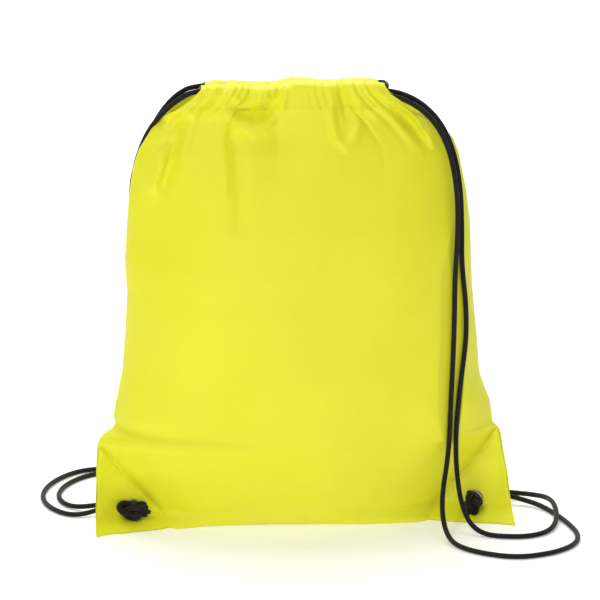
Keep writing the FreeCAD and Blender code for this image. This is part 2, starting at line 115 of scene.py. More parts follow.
# (place along the mouth, outward swell) of the gathers round the cord, front then back
GATHERS = {
    FRONT: [
        (-85, 0.4), (-81, 2.2), (-77, 1.0), (-72.7, 3.6), (-66, 1.0), (-58.3, 4.4),
        (-51, 3.6), (-46.8, 3.0), (-44.8, -0.2), (-42.8, 3.2), (-34.7, 5.5), (-25, 4.2),
        (-20.3, 0.6), (-15, 4.0), (-7.6, 6.0), (4, 6.2), (16, 5.6), (25.5, 4.2),
        (28.4, 2.2), (29.8, -0.4), (31.4, 2.6), (35, 3.6), (38.9, 4.4), (42.5, 2.0),
        (45.5, 3.0), (48.2, 3.3), (51.5, 1.2), (55, 2.2), (58.3, 2.6), (62, 1.0), (67, 0.3),
    ],
    BACK: [
        (-85, 0.4), (-78, 2.8), (-72, 1.0), (-63, 4.2), (-55, 1.0), (-48, 3.8), (-40, 4.4),
        (-33, 0.4), (-26, 3.6), (-14, 5.6), (-5, 1.4), (3, 4.6), (12, 5.2), (21, 0.8),
        (28, 3.8), (36, 4.2), (43, 0.8), (49, 3.2), (56, 1.2), (61, 2.4), (67, 0.3),
    ],
}
# (place along the mouth, height) of the hem's top edge
TOP_EDGE = {
    FRONT: [
        (-85, 379.8), (-81, 380.4), (-77, 380.4), (-72.7, 381.6), (-66, 380.6),
        (-58.3, 381.4), (-50, 380.8), (-44.8, 378.9), (-40, 379.6), (-34.7, 380.2),
        (-25, 379.6), (-20.3, 378.9), (-15, 381.2), (-7.6, 383.8), (4, 383), (16, 381.8),
        (26, 381.6), (29.6, 378.9), (33, 381.6), (39, 382.2), (43, 381.0), (48, 382),
        (52, 381.0), (57, 381.4), (61, 380.4), (67, 379.2),
    ],
    BACK: [
        (-85, 380.2), (-73, 381.4), (-66, 380.2), (-58, 380.8), (-50, 379.8), (-45, 379.2),
        (-35, 379.4), (-20, 379.2), (-14, 380.8), (-7.6, 382.8), (5, 381.2), (16, 379.8),
        (26, 379.9), (29.6, 379.2), (33, 380), (48, 380.6), (58, 380.6), (67, 379.4),
    ],
}
# Single folds of the front: points (across, height), outward height, width, in mm.
FRONT_FOLDS = [
    # swag under the round gather on the left, and the bowl above it
    ([(-66, 363), (-55, 350), (-43, 345.5), (-28, 353), (-17, 371), (-12, 384)], 3.6, 4.6),
    ([(-58, 366), (-49, 359), (-43, 357), (-34, 361), (-26, 372)], -6.0, 6.0),
    ([(-41, 372), (-34, 369), (-28, 374)], 3.0, 5.0),
    # arch from the left end of the mouth
    ([(-93, 362), (-84, 368), (-75, 373), (-67, 375), (-58, 372), (-51, 364)], 1.8, 3.0),
    ([(-92, 352), (-84, 360), (-75, 364), (-66, 362)], -1.6, 4.5),
    # soft upright fold and its shadow
    ([(-67, 366), (-68, 342), (-68.5, 317), (-70, 285)], 1.6, 4.5),
    ([(-59, 352), (-58, 325), (-56, 295), (-57, 255)], -2.4, 7.5),
    # folds of the left shoulder
    ([(-86, 366), (-94.5, 349), (-101, 333), (-105, 318)], 2.6, 5.0),
    ([(-99, 362), (-107, 349), (-113, 335)], -2.2, 5.0),
    ([(-103, 342), (-109, 328), (-116.5, 306), (-123, 286)], -3.4, 5.0),
    ([(-117, 326), (-124, 308), (-130, 288)], 2.6, 6.5),
    ([(-130, 333), (-122, 329), (-108, 336)], -1.8, 2.6),
    # tongue below the deep crease on the right
    ([(23, 375), (22.5, 355), (25.5, 338), (33, 331.5), (40, 336), (45, 350), (44, 372)], 2.4, 3.6),
    ([(30, 378), (33, 364), (34, 350)], -3.6, 3.4),
    ([(26, 368), (27, 352), (29, 343)], -1.4, 3.0),
    # lens-shaped fold of the right shoulder
    ([(62, 374), (79.5, 363), (94.5, 351), (104, 336), (108.5, 326), (105, 321)], 2.8, 2.8),
    ([(68, 366), (80, 356), (91, 343), (100, 330), (103, 325)], -3.8, 4.2),
    ([(71, 356), (83, 341), (97, 328)], 1.6, 4.2),
    ([(74, 368), (91, 357), (103, 345)], -1.2, 1.8),
]
CORD_DIAMETER = 4.5

# Centre lines of the free strands, in mm: the same points as in the CAD source.
STRANDS = {
    "right_front_strand": [
        (39.0, -9.7, 370.8), (72.0, -9.7, 370.8), (95.0, -14.0, 361.0), (112.0, -17.0, 344.0),
        (122.5, -20.0, 320.0), (128.0, -22.5, 288.0), (128.5, -24.0, 252.0), (126.0, -26.0, 215.0),
        (125.5, -30.0, 179.0), (124.0, -33.0, 140.0), (122.0, -37.0, 106.0), (121.0, -39.5, 78.0),
        (118.5, -42.0, 55.0), (114.0, -50.0, 34.0), (112.5, -62.0, 17.0), (114.5, -80.0, 5.5),
        (120.0, -100.0, 2.4), (137.0, -121.0, 2.4), (166.0, -136.5, 2.4), (198.0, -127.0, 2.4),
        (220.0, -106.0, 2.4), (227.0, -78.0, 2.4), (222.0, -45.0, 2.4), (213.5, -15.0, 2.4),
        (204.0, 4.0, 3.4), (192.0, 14.0, 5.2), (177.0, 18.0, 8.5), (162.4, 17.0, 10.8),
        (154.1, 9.2, 11.2), (150.9, -3.4, 13.7),
    ],
    "right_back_strand": [
        (39.0, 9.7, 370.8), (72.0, 9.7, 370.8), (97.0, 3.0, 362.5), (115.0, -6.5, 346.0),
        (126.0, -12.5, 321.0), (131.5, -15.5, 290.0), (132.5, -18.0, 256.0), (132.5, -19.0, 224.0),
        (136.5, -20.0, 190.0), (136.5, -23.0, 159.0), (131.5, -28.0, 125.0), (127.5, -34.0, 91.0),
        (126.5, -37.5, 65.0), (127.5, -42.0, 44.0), (130.0, -50.0, 24.0), (136.0, -61.0, 8.5),
        (147.0, -71.5, 2.4), (164.0, -79.0, 2.4), (186.0, -80.0, 2.4), (204.0, -67.0, 2.6),
        (213.0, -44.0, 4.5), (215.5, -16.0, 9.0), (212.5, 9.0, 8.4), (201.0, 26.0, 6.0),
        (183.0, 32.5, 6.2), (166.0, 30.0, 9.5), (153.4, 21.0, 10.4), (149.5, 10.4, 11.1),
        (146.2, -2.2, 13.6),
    ],
    "left_front_strand": [
        (-57.0, -9.7, 377.2), (-90.0, -9.7, 377.2), (-106.0, -10.5, 369.0), (-119.5, -4.0, 355.0),
        (-130.5, 5.0, 338.0), (-139.0, 14.0, 313.0), (-143.5, 26.0, 284.0), (-142.0, 38.0, 245.0),
        (-138.0, 47.0, 203.0), (-137.5, 54.0, 158.0), (-140.0, 64.0, 114.0), (-143.0, 80.0, 74.0),
        (-146.0, 102.0, 38.0), (-150.5, 127.0, 13.0), (-163.0, 146.0, 2.4), (-184.0, 142.0, 2.4),
        (-203.0, 122.0, 2.4), (-216.0, 95.0, 2.4), (-221.0, 66.0, 2.4), (-216.0, 37.0, 2.4),
        (-202.0, 15.0, 2.4), (-188.0, 12.0, 2.8), (-174.0, 16.5, 5.6), (-163.0, 17.0, 8.4),
        (-154.3, 10.0, 11.0), (-150.9, -3.4, 13.7),
    ],
    "left_back_strand": [
        (-57.0, 9.7, 377.2), (-90.0, 9.7, 377.2), (-105.5, 12.0, 368.5), (-117.5, 15.5, 354.0),
        (-127.0, 20.5, 336.0), (-132.5, 27.0, 312.0), (-132.5, 35.5, 283.0), (-128.5, 43.0, 244.0),
        (-125.5, 48.0, 200.0), (-126.0, 52.5, 156.0), (-129.0, 60.0, 112.0), (-134.0, 73.0, 72.0),
        (-137.5, 91.0, 38.0), (-142.0, 113.0, 13.0), (-153.5, 131.0, 2.4), (-170.0, 132.5, 2.4),
        (-187.0, 118.5, 2.4), (-200.5, 97.0, 2.4), (-207.0, 72.0, 2.4), (-204.0, 48.0, 2.4),
        (-193.0, 32.0, 3.2), (-176.0, 28.5, 5.5), (-161.5, 29.0, 8.5), (-152.0, 21.5, 10.4),
        (-149.5, 10.4, 11.1), (-146.2, -2.2, 13.6),
    ],
}

# ---------------------------------------------------------------- small helpers


def smoothstep(low, high, value):
    """0 below low, 1 above high, and a smooth rise between them."""
    t = np.clip((np.asarray(value, float) - low) / (high - low), 0, 1)
    return t * t * (3 - 2 * t)


def make_object(name, vertices, faces, material, smooth=True):
    """A mesh object from points in mm and faces."""
    mesh = bpy.data.meshes.new(name)
    mesh.from_pydata([tuple(v) for v in np.asarray(vertices) * MM], [], faces)
    mesh.update()
    if smooth:
        mesh.polygons.foreach_set("use_smooth", [True] * len(mesh.polygons))
    thing = bpy.data.objects.new(name, mesh)
    bpy.context.scene.collection.objects.link(thing)
    if material is not None:
        mesh.materials.append(material)
    return thing


def grid_faces(rows, columns, wrap=False, flip=False):
    """Quads of a grid of rows by columns points, closed along the columns if wrap."""
    faces = []
    last = columns if wrap else columns - 1
    for row in range(rows - 1):
        for column in range(last):
            a = row * columns + column
            b = row * columns + (column + 1) % columns
            quad = (a, b, b + columns, a + columns)
            faces.append(quad[::-1] if flip else quad)
    return faces


# ---------------------------------------------------------------- materials


def new_material(name):
    """A node material with its tree, its principled shader and its object coordinates."""
    material = bpy.data.materials.new(name)
    material.use_nodes = True
    tree = material.node_tree
    shader = tree.nodes["Principled BSDF"]
    coordinates = tree.nodes.new("ShaderNodeTexCoord")
    return material, tree, shader, coordinates


def noise_node(tree, source, scale, detail=3.0):
    """A noise texture on the object's coordinates."""
    noise = tree.nodes.new("ShaderNodeTexNoise")
    noise.inputs["Scale"].default_value = scale
    noise.inputs["Detail"].default_value = detail
    tree.links.new(source.outputs["Object"], noise.inputs["Vector"])
    return noise


def ramp_node(tree, fac, dark, light, low=0.3, high=0.7):
    """A colour ramp between two colours."""
    ramp = tree.nodes.new("ShaderNodeValToRGB")
    ramp.color_ramp.elements[0].position = low
    ramp.color_ramp.elements[0].color = (*dark, 1)
    ramp.color_ramp.elements[1].position = high
    ramp.color_ramp.elements[1].color = (*light, 1)
    tree.links.new(fac, ramp.inputs["Fac"])
    return ramp


def bump_node(tree, height, strength, distance, normal=None):
    """A bump from a height, added to another bump if one is given."""
    bump = tree.nodes.new("ShaderNodeBump")
    bump.inputs["Strength"].default_value = strength
    bump.inputs["Distance"].default_value = distance
    tree.links.new(height, bump.inputs["Height"])
    if normal is not None:
        tree.links.new(normal.outputs["Normal"], bump.inputs["Normal"])
    return bump


def wave_node(tree, source, direction, scale):
    """Straight bands across one direction of the object's coordinates."""
    wave = tree.nodes.new("ShaderNodeTexWave")
    wave.wave_type = "BANDS"
    wave.bands_direction = direction
    wave.inputs["Scale"].default_value = scale
    wave.inputs["Distortion"].default_value = 0.0
    tree.links.new(source.outputs["Object"], wave.inputs["Vector"])
    return wave


def fabric_material():
    """Neon yellow plain-weave polyester with a soft sheen and a faint painted glow that lifts its
    shade.
    """
    material, tree, shader, coordinates = new_material("neon_polyester")
    cloud = noise_node(tree, coordinates, 9.0, 4.0)
    ramp = ramp_node(tree, cloud.outputs["Fac"], (0.790, 0.765, 0.010), (0.830, 0.795, 0.018))
    tree.links.new(ramp.outputs["Color"], shader.inputs["Base Color"])
    warp = wave_node(tree, coordinates, "X", 420.0)
    weft = wave_node(tree, coordinates, "Z", 420.0)
    crossing = tree.nodes.new("ShaderNodeMath")
    crossing.operation = "ADD"
    tree.links.new(warp.outputs["Fac"], crossing.inputs[0])
    tree.links.new(weft.outputs["Fac"], crossing.inputs[1])
    weave = bump_node(tree, crossing.outputs["Value"], 0.25, 0.0002)
    rumple = noise_node(tree, coordinates, 55.0, 3.0)
    soft = bump_node(tree, rumple.outputs["Fac"], 0.18, 0.004, weave)
    tree.links.new(soft.outputs["Normal"], shader.inputs["Normal"])
    shader.inputs["Roughness"].default_value = 0.5
    shader.inputs["Specular IOR Level"].default_value = 0.45
    # painted glow: a faint greenish emission that lightens the cloth's shaded parts
    shader.inputs["Emission Color"].default_value = (0.55, 0.78, 0.03, 1)
    shader.inputs["Emission Strength"].default_value = 0.05
    shader.inputs["Sheen Weight"].default_value = 0.06
    shader.inputs["Sheen Roughness"].default_value = 0.5
    return material


def cord_material():
    """Black braided polyester."""
    material, tree, shader, coordinates = new_material("black_braid")
    fibre = noise_node(tree, coordinates, 900.0, 2.0)
    ramp = ramp_node(tree, fibre.outputs["Fac"], (0.003, 0.0026, 0.003), (0.012, 0.010, 0.011))
    tree.links.new(ramp.outputs["Color"], shader.inputs["Base Color"])
    bump = bump_node(tree, fibre.outputs["Fac"], 0.5, 0.0003)
    tree.links.new(bump.outputs["Normal"], shader.inputs["Normal"])
    shader.inputs["Roughness"].default_value = 0.75
    shader.inputs["Specular IOR Level"].default_value = 0.25
    shader.inputs["Sheen Weight"].default_value = 0.1
    return material


def metal_material():
    """Dark nickel plate with fine wear."""
    material, tree, shader, coordinates = new_material("nickel_plate")
    grain = noise_node(tree, coordinates, 600.0, 4.0)
    ramp = ramp_node(tree, grain.outputs["Fac"], (0.20, 0.19, 0.18), (0.42, 0.40, 0.38))
    tree.links.new(ramp.outputs["Color"], shader.inputs["Base Color"])
    bump = bump_node(tree, grain.outputs["Fac"], 0.12, 0.0002)
    tree.links.new(bump.outputs["Normal"], shader.inputs["Normal"])
    shader.inputs["Metallic"].default_value = 1.0
    shader.inputs["Roughness"].default_value = 0.32
    return material


def thread_material():
    """Yellow sewing thread, a little deeper than the cloth."""
    material, tree, shader, coordinates = new_material("yellow_thread")
    twist = noise_node(tree, coordinates, 1500.0, 2.0)
    ramp = ramp_node(tree, twist.outputs["Fac"], (0.66, 0.68, 0.015), (0.80, 0.80, 0.05))
    tree.links.new(ramp.outputs["Color"], shader.inputs["Base Color"])
    bump = bump_node(tree, twist.outputs["Fac"], 0.4, 0.0002)
    tree.links.new(bump.outputs["Normal"], shader.inputs["Normal"])
    shader.inputs["Roughness"].default_value = 0.55
    return material


FABRIC = fabric_material()
CORD = cord_material()
METAL = metal_material()
THREAD = thread_material()

# ---------------------------------------------------------------- camera, light and floor


def add_camera():
    """Camera a little above the bag and a little to its left, with a long lens."""
    data = bpy.data.cameras.new("camera")
    camera = bpy.data.objects.new("camera", data)
    bpy.context.scene.collection.objects.link(camera)
    azimuth, elevation, distance = math.radians(-5.0), math.radians(15.0), 4.0
    back = Vector((
        math.sin(azimuth) * math.cos(elevation),
        -math.cos(azimuth) * math.cos(elevation),
        math.sin(elevation),
    ))
    target = Vector((-0.0025, 0.0, 0.1915))
    camera.location = target + back * distance
    camera.rotation_mode = "QUATERNION"
    camera.rotation_quaternion = (-back).to_track_quat("-Z", "Y")
    data.sensor_width = 36.0
    data.lens = 284.0
    data.clip_end = 20.0
    bpy.context.scene.camera = camera


def add_area_light(name, place, target, size, power):
    """A square soft light that points at a target."""
    data = bpy.data.lights.new(name, "AREA")
    data.shape = "SQUARE"
    data.size = size
    data.energy = power
    light = bpy.data.objects.new(name, data)
    light.location = place
    direction = Vector(target) - Vector(place)
    light.rotation_mode = "QUATERNION"
    light.rotation_quaternion = direction.to_track_quat("-Z", "Y")
    bpy.context.scene.collection.objects.link(light)


def sweep_points(width, near, far, wall_height, bend):
    """Points of a paper sweep: a floor that curves up into a wall behind."""
    line = [(near, 0.0)]
    for step in range(17):
        angle = math.pi / 2 * step / 16
        line.append((far - bend + bend * math.sin(angle), bend - bend * math.cos(angle)))
    line.append((far, wall_height))
    points = [(side * width, y, z) for y, z in line for side in (-1, 1)]
    faces = [(2 * i, 2 * i + 1, 2 * i + 3, 2 * i + 2) for i in range(len(line) - 1)]
    return points, faces


def add_studio():
    """White paper, a light tent that is brighter behind, and soft lights."""
    material, tree, shader, coordinates = new_material("white_paper")
    grain = noise_node(tree, coordinates, 3.0, 2.0)
    ramp = ramp_node(tree, grain.outputs["Fac"], (0.90, 0.90, 0.90), (0.93, 0.93, 0.93))
    tree.links.new(ramp.outputs["Color"], shader.inputs["Base Color"])
    shader.inputs["Roughness"].default_value = 0.9
    shader.inputs["Specular IOR Level"].default_value = 0.1
    shader.inputs["Emission Color"].default_value = (1, 1, 1, 1)
    shader.inputs["Emission Strength"].default_value = 0.25
    points, faces = sweep_points(5000.0, -4000.0, 2600.0, 4000.0, 900.0)
    make_object("floor", points, faces, material)
    world = bpy.data.worlds.new("studio")
    world.use_nodes = True
    tree = world.node_tree
    background = tree.nodes["Background"]
    direction = tree.nodes.new("ShaderNodeTexCoord")
    parts = tree.nodes.new("ShaderNodeSeparateXYZ")
    tree.links.new(direction.outputs["Generated"], parts.inputs["Vector"])
    ramp = tree.nodes.new("ShaderNodeMapRange")
    tree.links.new(parts.outputs["Z"], ramp.inputs["Value"])
    ramp.inputs["From Min"].default_value = 0.0
    ramp.inputs["From Max"].default_value = 1.0
    ramp.inputs["To Min"].default_value = 0.18
    ramp.inputs["To Max"].default_value = 0.42
    tree.links.new(ramp.outputs["Result"], background.inputs["Strength"])
    background.inputs["Color"].default_value = (1, 1, 1, 1)
    bpy.context.scene.world = world
    add_area_light("key", (-0.8, -1.2, 1.6), (0, 0, 0.25), 0.5, 9.5)
    add_area_light("front", (-0.2, -2.2, 0.12), (0, 0, 0.08), 1.0, 15)
    add_area_light("backdrop", (0.0, 1.2, 3.2), (0, 2.6, 0.6), 2.2, 80)
    bpy.context.scene.view_settings.view_transform = "Standard"


# ---------------------------------------------------------------- cords


def spline_line(name, points):
    """Points in mm along the NURBS spline whose control points are a route's points."""
    curve = bpy.data.curves.new(name + "_route", "CURVE")
    curve.dimensions = "3D"
    curve.resolution_u = 24
    spline = curve.splines.new("NURBS")
    spline.points.add(len(points) - 1)
    for control, point in zip(spline.points, points):
        control.co = (*(Vector(point) * MM), 1.0)
    spline.order_u = 3
    spline.use_endpoint_u = True
    holder = bpy.data.objects.new(name + "_route", curve)
    mesh = bpy.data.meshes.new_from_object(holder)
    line = np.array([vertex.co for vertex in mesh.vertices]) / MM
    bpy.data.objects.remove(holder)
    bpy.data.curves.remove(curve)
    bpy.data.meshes.remove(mesh)
    return line


def even_line(line, spacing):
    """The same line at even distances along it."""
    steps = np.linalg.norm(np.diff(line, axis=0), axis=1)
    along = np.concatenate([[0], np.cumsum(steps)])
    count = max(2, int(round(along[-1] / spacing)) + 1)
    wanted = np.linspace(0, along[-1], count)
    return np.column_stack([np.interp(wanted, along, line[:, axis]) for axis in range(3)])


def line_frames(line):
    """Tangents and two normals along a line, without twist."""
    tangents = np.gradient(line, axis=0)
    tangents /= np.linalg.norm(tangents, axis=1)[:, None]
    normal = np.cross(tangents[0], (0.3, 0.5, 0.81))
    normal /= np.linalg.norm(normal)
    normals = []
    for tangent in tangents:
        normal = normal - tangent * np.dot(normal, tangent)
        normal = normal / np.linalg.norm(normal)
        normals.append(normal)
    normals = np.array(normals)
    return tangents, normals, np.cross(tangents, normals)


CARRIERS = 4
BRAID_PITCH = 11.0


def tube_data(line, diameter, around=20, spacing=0.75):
    """Braided cord along a line in mm: crossing carriers stand proud of its surface."""
    line = even_line(line, spacing)
    _, normals, binormals = line_frames(line)
    steps = np.linalg.norm(np.diff(line, axis=0), axis=1)
    along = np.concatenate([[0], np.cumsum(steps)])[:, None]
    angles = np.linspace(0, 2 * math.pi, around, endpoint=False)[None, :]
    spin = 2 * math.pi * CARRIERS * along / BRAID_PITCH
    weave = np.cos(CARRIERS * angles + spin) * np.cos(CARRIERS * angles - spin)
    radius = diameter / 2 * (0.955 + 0.045 * weave)
    radius = radius * (0.72 + 0.28 * smoothstep(0, 1.4, np.minimum(along, along[-1] - along)))
    ring = np.cos(angles)[..., None] * normals[:, None]
    ring = ring + np.sin(angles)[..., None] * binormals[:, None]
    vertices = (line[:, None] + radius[..., None] * ring).reshape(-1, 3)
    faces = grid_faces(len(line), around, wrap=True, flip=True)
    faces.append(tuple(range(around)))
    faces.append(tuple(range(len(vertices) - around, len(vertices)))[::-1])
    return vertices, faces


def join_lengths(name, lines):
    """One object from several braided lengths, each (line, diameter)."""
    vertices, faces = [], []
    for line, diameter in lines:
        more, more_faces = tube_data(np.asarray(line, float), diameter)
        faces += [tuple(len(vertices) + index for index in face) for face in more_faces]
        vertices += list(more)
    return make_object(name, vertices, faces, CORD)


add_camera()
add_studio()


def follow_mouth(piece):
    """Bakes the piece's placement into its mesh."""
    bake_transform(piece)


strand_pieces = {}
strand_paths = {}
for node, route in STRANDS.items():
    side = RIGHT if node.startswith("right") else LEFT
    path = even_line(spline_line(node, route), 0.75)
    piece = join_lengths(node + "_braid", [(path, CORD_DIAMETER)])
    strand_pieces[node] = piece
    strand_paths[node] = path
    follow_mouth(piece)
    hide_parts(node)

# ---------------------------------------------------------------- the bag's cloth


def soft_table(table, heights, softness=3.0):
    """A (height, value) table read at heights, its corners rounded over a few mm."""
    table = np.array(table, float)
    fine = np.arange(table[0, 0] - 20, table[-1, 0] + 20, 0.5)
    values = np.interp(fine, table[:, 0], table[:, 1])
    reach = np.arange(-4 * softness, 4 * softness + 0.5, 0.5)
    kernel = np.exp(-(reach / softness) ** 2 / 2)
    padded = np.pad(values, len(reach) // 2, mode="edge")
    return np.interp(heights, fine, np.convolve(padded, kernel / kernel.sum(), mode="valid"))


def fold_distance(across, height, points):
    """Distance to a fold's line, and the place along it from 0 to 1."""
    points = np.array(points, float)
    lengths = np.linalg.norm(np.diff(points, axis=0), axis=1)
    starts = np.concatenate([[0], np.cumsum(lengths)])
    best = np.full(np.shape(across), 1e9)
    place = np.zeros(np.shape(across))
    for begin, end, length, start in zip(points, points[1:], lengths, starts):
        run = (end - begin) / length
        along = (across - begin[0]) * run[0] + (height - begin[1]) * run[1]
        along = np.clip(along, 0, length)
        gap = np.hypot(across - begin[0] - along * run[0], height - begin[1] - along * run[1])
        nearer = gap < best
        best = np.where(nearer, gap, best)
        place = np.where(nearer, (start + along) / starts[-1], place)
    return best, place


def fold_swell(across, height, folds):
    """Sum of single folds at points of the cloth."""
    total = np.zeros(np.shape(across))
    for points, swell, width in folds:
        distance, place = fold_distance(across, height, points)
        ends = smoothstep(0, 0.22, place) * (1 - smoothstep(0.72, 1.0, place))
        total += swell * np.exp(-((distance / width) ** 2)) * (0.15 + 0.85 * ends)
    return total


def flap_root(side, height):
    """Distance from the middle at which a corner's flap starts."""
    foot, top, top_height = FLAP_ROOTS[side]
    share = np.asarray(height, float) / top_height
    above = np.asarray(height, float) - top_height
    return np.where(share < 1, foot + (top - foot) * share, top + 1.2 * above)


def flap_shift(across, height):
    """Forward (negative) shift of a folded corner: its plane, and cloth that curls past it."""
    shift = np.zeros(np.broadcast(across, height).shape)
    for side in (LEFT, RIGHT):
        centre, normal = EYELET_CENTRE[side], EYELET_NORMAL[side]
        run = (across - centre[0]) * normal[0] + (height - centre[2]) * normal[2]
        plane = np.minimum(0, centre[1] - run / normal[1])
        past = np.maximum(0, np.hypot(across - centre[0], height - centre[2]) - 9.0)
        curl = past ** 2 * FLAP_CURLS[side] * smoothstep(118, 152, side * across)
        curl = np.minimum(curl, 24.0) * smoothstep(62, 18, height)
        shift = shift + np.where(side * across > 60, plane - curl, 0)
    return shift


def foot_spread(across, height):
    """Forward shift of the lowest cloth, kept off the eyelets."""
    spread = np.interp(across, *np.array(FOOT_SPREAD).T) * (1 - smoothstep(0, 14, height))
    for side in (LEFT, RIGHT):
        centre = EYELET_CENTRE[side]
        gap = np.hypot(across - centre[0], height - centre[2])
        spread = spread * smoothstep(6.5, 12, gap)
    return spread


def soften(values, rounds):
    """Rounds off sharp steps of a grid, its border kept."""
    values = values.copy()
    for _ in range(rounds):
        inner = (values[:-2, 1:-1] + values[2:, 1:-1] + values[1:-1, :-2] + values[1:-1, 2:]) / 4
        values[1:-1, 1:-1] += 0.5 * (inner - values[1:-1, 1:-1])
    return values


def sway(across, height, face):
    """Broad shallow waves that loose cloth keeps."""
    phase = 0.0 if face == FRONT else 2.1
    wave = 1.3 * np.sin(across / 23.0 + height / 61.0 + phase)
    wave += 0.9 * np.sin(across / 13.0 - height / 44.0 + 1.3 + phase)
    wave += 0.7 * np.sin(height / 19.0 + across / 47.0 + 2.2 * phase)
    return wave


def press_under_cords(across, depth, height):
    """Pushes the front back wherever a strand that hangs over it would cut into it."""
    gap = CORD_DIAMETER / 2 + 0.9
    for node in ("right_front_strand", "right_back_strand"):
        for point in even_line(strand_paths[node], 3.0):
            if 20 < point[2] < 352:
                away = np.hypot(across - point[0], height - point[2])
                limit = point[1] + gap - (away / 6.0) ** 2 - 0.6 * away
                near = away < 22
                depth = np.where(near, np.maximum(depth, limit), depth)
    return depth


def smooth_edges(share):
    """1 over the cloth and 0 at the side seams."""
    return 1 - smoothstep(0.90, 1.0, np.abs(share))


ARC_COLUMNS = 271
SHARES = np.sin(np.linspace(-1, 1, ARC_COLUMNS) * 1.5) / math.sin(1.5)
WALL_HEIGHTS = np.concatenate([np.linspace(0.3, 12, 10), np.arange(13.6, HEM_SEAM, 1.75)])
HEM_STEPS = 46


def panel_points(face):
    """Grid of points of one panel: under the bag, up its face, over the hem and inside it."""
    share = SHARES[None, :]
    mouth_place = MOUTH_MIDDLE + MOUTH_HALF * SHARES
    swell = np.interp(mouth_place, *np.array(GATHERS[face]).T)
    broad = np.convolve(np.pad(swell, 12, mode="edge"), np.ones(25) / 25, mode="valid")
    fine = swell - broad
    crinkle = np.sin(mouth_place / 1.05 + 2.2 * np.sin(mouth_place / 9.0))
    crinkle = crinkle * (0.55 + 0.45 * np.sin(mouth_place / 5.3 + face))

    heights = WALL_HEIGHTS[:, None]
    left = soft_table(EDGES[LEFT], WALL_HEIGHTS, 1.0)[:, None]
    right = soft_table(EDGES[RIGHT], WALL_HEIGHTS, 1.0)[:, None]
    middle, half = (right - left) / 2, (right + left) / 2
    across = middle + share * half
    bulge = soft_table(BULGE, WALL_HEIGHTS, 1.5)[:, None]
    fullness = soft_table(FULLNESS, WALL_HEIGHTS, 3.0)[:, None]
    reach_left = np.minimum(half, flap_root(LEFT, heights) + middle)
    reach_right = np.minimum(half, flap_root(RIGHT, heights) - middle)
    reach = np.where(share < 0, reach_left, reach_right)
    section = np.maximum(0, 1 - ((across - middle) / reach) ** 2) ** (fullness / 2)
    edge = HEM_WALL * smoothstep(350, HEM_SEAM, heights)
    out = edge + (bulge - edge) * section
    flat = smoothstep(0, 0.12, 1 - np.abs(share)) * (1 - smoothstep(0.0, 0.25, section))
    out = out + LAYER * flat
    drop = HEM_SEAM - heights
    loose = smooth_edges(share) * smoothstep(6, 60, heights) * smoothstep(0, 0.3, section)
    gather = broad[None, :] * np.exp(-drop / 62) + fine[None, :] * np.exp(-((drop / 26) ** 1.3))
    out = out + gather * np.maximum(smooth_edges(share), smoothstep(352, 361, heights))
    out = out + sway(across, heights, face) * loose * smoothstep(0, 60, drop + 20)
    folds = FRONT_FOLDS if face == FRONT else []
    folded = fold_swell(across, heights + 0 * across, folds) * smooth_edges(share)
    out = soften(out + FOLD_DEPTH * folded, 2)
    seam_wave = 0.8 * np.sin(heights / 5.2 + 3 * np.sin(heights / 31))
    near_seam = smoothstep(0.94, 1.0, np.abs(share)) * (1 - smoothstep(335, 350, heights))
    depth = face * out + soften(flap_shift(across, heights), 3) + seam_wave * near_seam
    if face == FRONT:
        depth = depth + foot_spread(across, heights)
        depth = press_under_cords(across, depth, heights + 0 * across)
    wall = np.stack([across, depth, heights + 0 * across], axis=2)

    under_share = np.linspace(0, 1, 7)[:-1, None]
    first = wall[0][None]
    under = np.repeat(first, 6, axis=0)
    under[:, :, 1] = under_share * first[:, :, 1] + (1 - under_share) * (
        flap_shift(first[:, :, 0], 0.3))

    top = np.interp(mouth_place, *np.array(TOP_EDGE[face]).T)[None, :]
    step = np.linspace(0, 1, HEM_STEPS)[:, None]
    turn = np.clip((step - 0.42) / 0.22, 0, 1) * math.pi
    rise = np.clip(step / 0.42, 0, 1)
    fall = np.clip((step - 0.64) / 0.36, 0, 1)
    bend_height = top - HEM_CAP
    height = HEM_SEAM + (bend_height - HEM_SEAM) * rise
    height = np.where(step > 0.64, bend_height - (bend_height - HEM_SEAM) * fall, height)
    height = height + np.sin(turn) * HEM_CAP
    short = 4.0 * (face == BACK) * smoothstep(362, 377, height)
    left = np.interp(height[:, 0], *np.array(EDGES[LEFT]).T)[:, None] - short
    right = np.interp(height[:, -1], *np.array(EDGES[RIGHT]).T)[:, None] - short
    hem_across = (right - left) / 2 + share * (right + left) / 2
    folded = fold_swell(hem_across, height, folds) * smooth_edges(share)
    slope = np.interp(height, *np.array(BULGE).T) - HEM_WALL
    cap = (HEM_WALL + slope * section[-1] - HEM_INNER) / 2
    tunnel_out = HEM_INNER + cap + np.cos(turn) * cap
    outer = (1 + np.cos(turn)) / 2
    stitch = np.exp(-(((height - HEM_SEAM - 1.0) / 1.6) ** 2))
    relief = swell[None, :] + 0.45 * crinkle[None, :] + FOLD_DEPTH * folded - 0.1 * stitch
    tunnel_out = tunnel_out + outer * np.maximum(relief, -HEM_PRESS)
    tunnel_out = tunnel_out - 0.5 * (1 - outer) * crinkle[None, :]
    height = height + 0.2 * np.sin(turn) * crinkle[None, :]
    hem = np.stack([hem_across, face * tunnel_out, height], axis=2)
    return np.concatenate([under, wall, hem[1:]])


def grid_normals(points, face):
    """Outward normals of a panel's grid."""
    normals = np.cross(np.gradient(points, axis=1), np.gradient(points, axis=0))
    normals *= -face
    lengths = np.linalg.norm(normals, axis=2, keepdims=True)
    return normals / np.maximum(lengths, 1e-9)


def eyelet_gap(points, side):
    """Distance of points from an eyelet's axis."""
    offset = points - EYELET_CENTRE[side]
    along = offset @ EYELET_NORMAL[side]
    return np.linalg.norm(offset - along[..., None] * EYELET_NORMAL[side], axis=-1)


